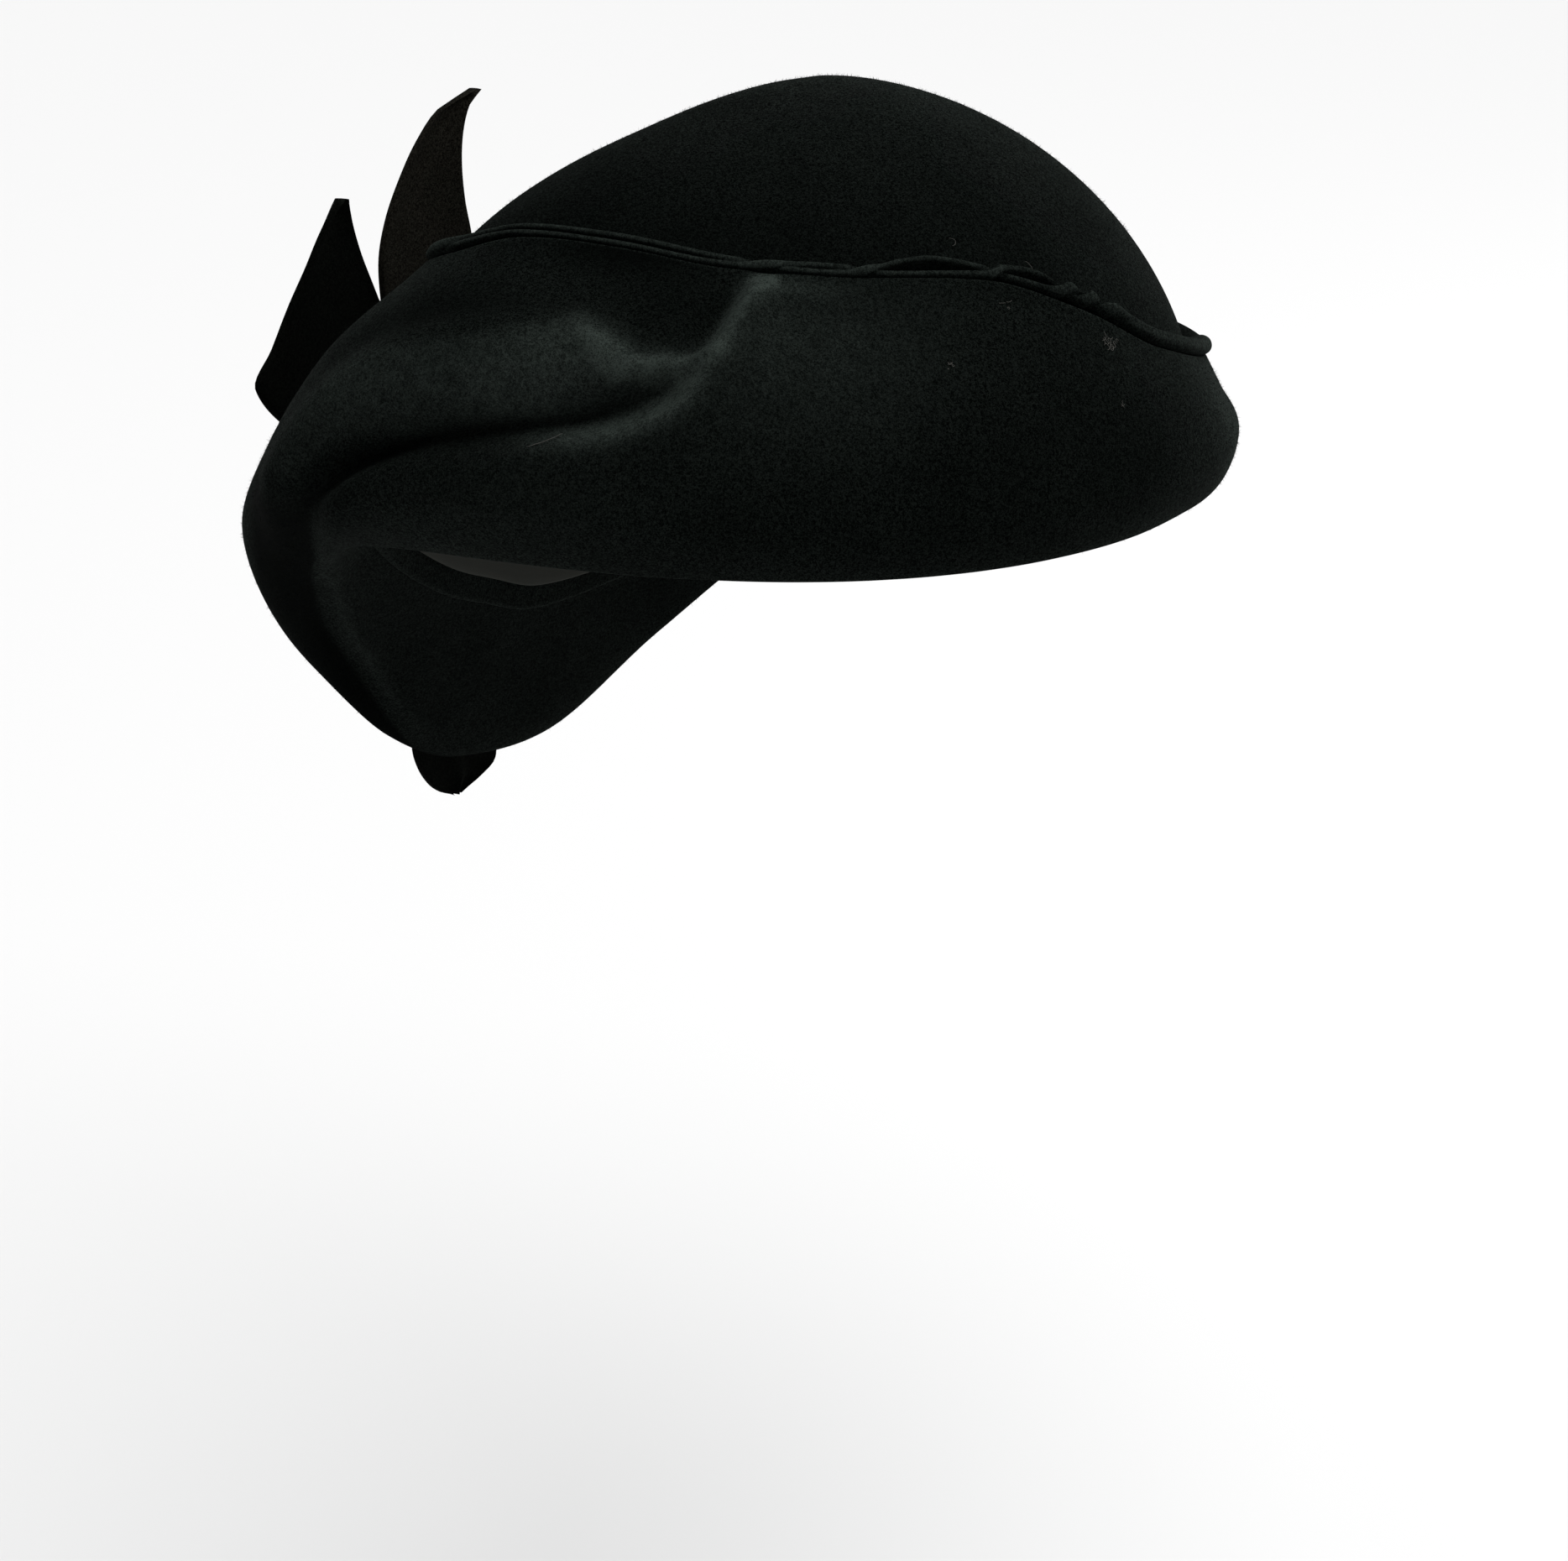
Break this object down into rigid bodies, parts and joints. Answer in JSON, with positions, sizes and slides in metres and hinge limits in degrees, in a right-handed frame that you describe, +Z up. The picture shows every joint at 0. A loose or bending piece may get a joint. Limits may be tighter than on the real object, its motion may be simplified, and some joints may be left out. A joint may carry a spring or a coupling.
{
  "type": "draped felt pillbox hat",
  "caption": "Small black felt hat with a domed crown, a turned-up cuff that folds and hangs at one side, a twisted band and pointed felt leaves.",
  "frame": {"origin": "middle of the head opening, level with the lowest line of the front, where the hat sits on a head", "axes": "+Z up along the head, out of the crown; -Y to the front of the hat; -X to the side where the cuff hangs and the leaves stand"},
  "size_m": [0.2086, 0.1935, 0.18],
  "materials": {
    "felt": "black brushed felt with a short soft nap",
    "ribbon": "brownish black plain woven ribbon, matt"
  },
  "bodies": {
    "root": {"crown": "felt", "draped_cuff": "felt", "twisted_band": "felt", "headband": "ribbon", "leaf_tall": "felt", "leaf_short": "felt", "leaf_low": "felt"}
  },
  "joints": []
}
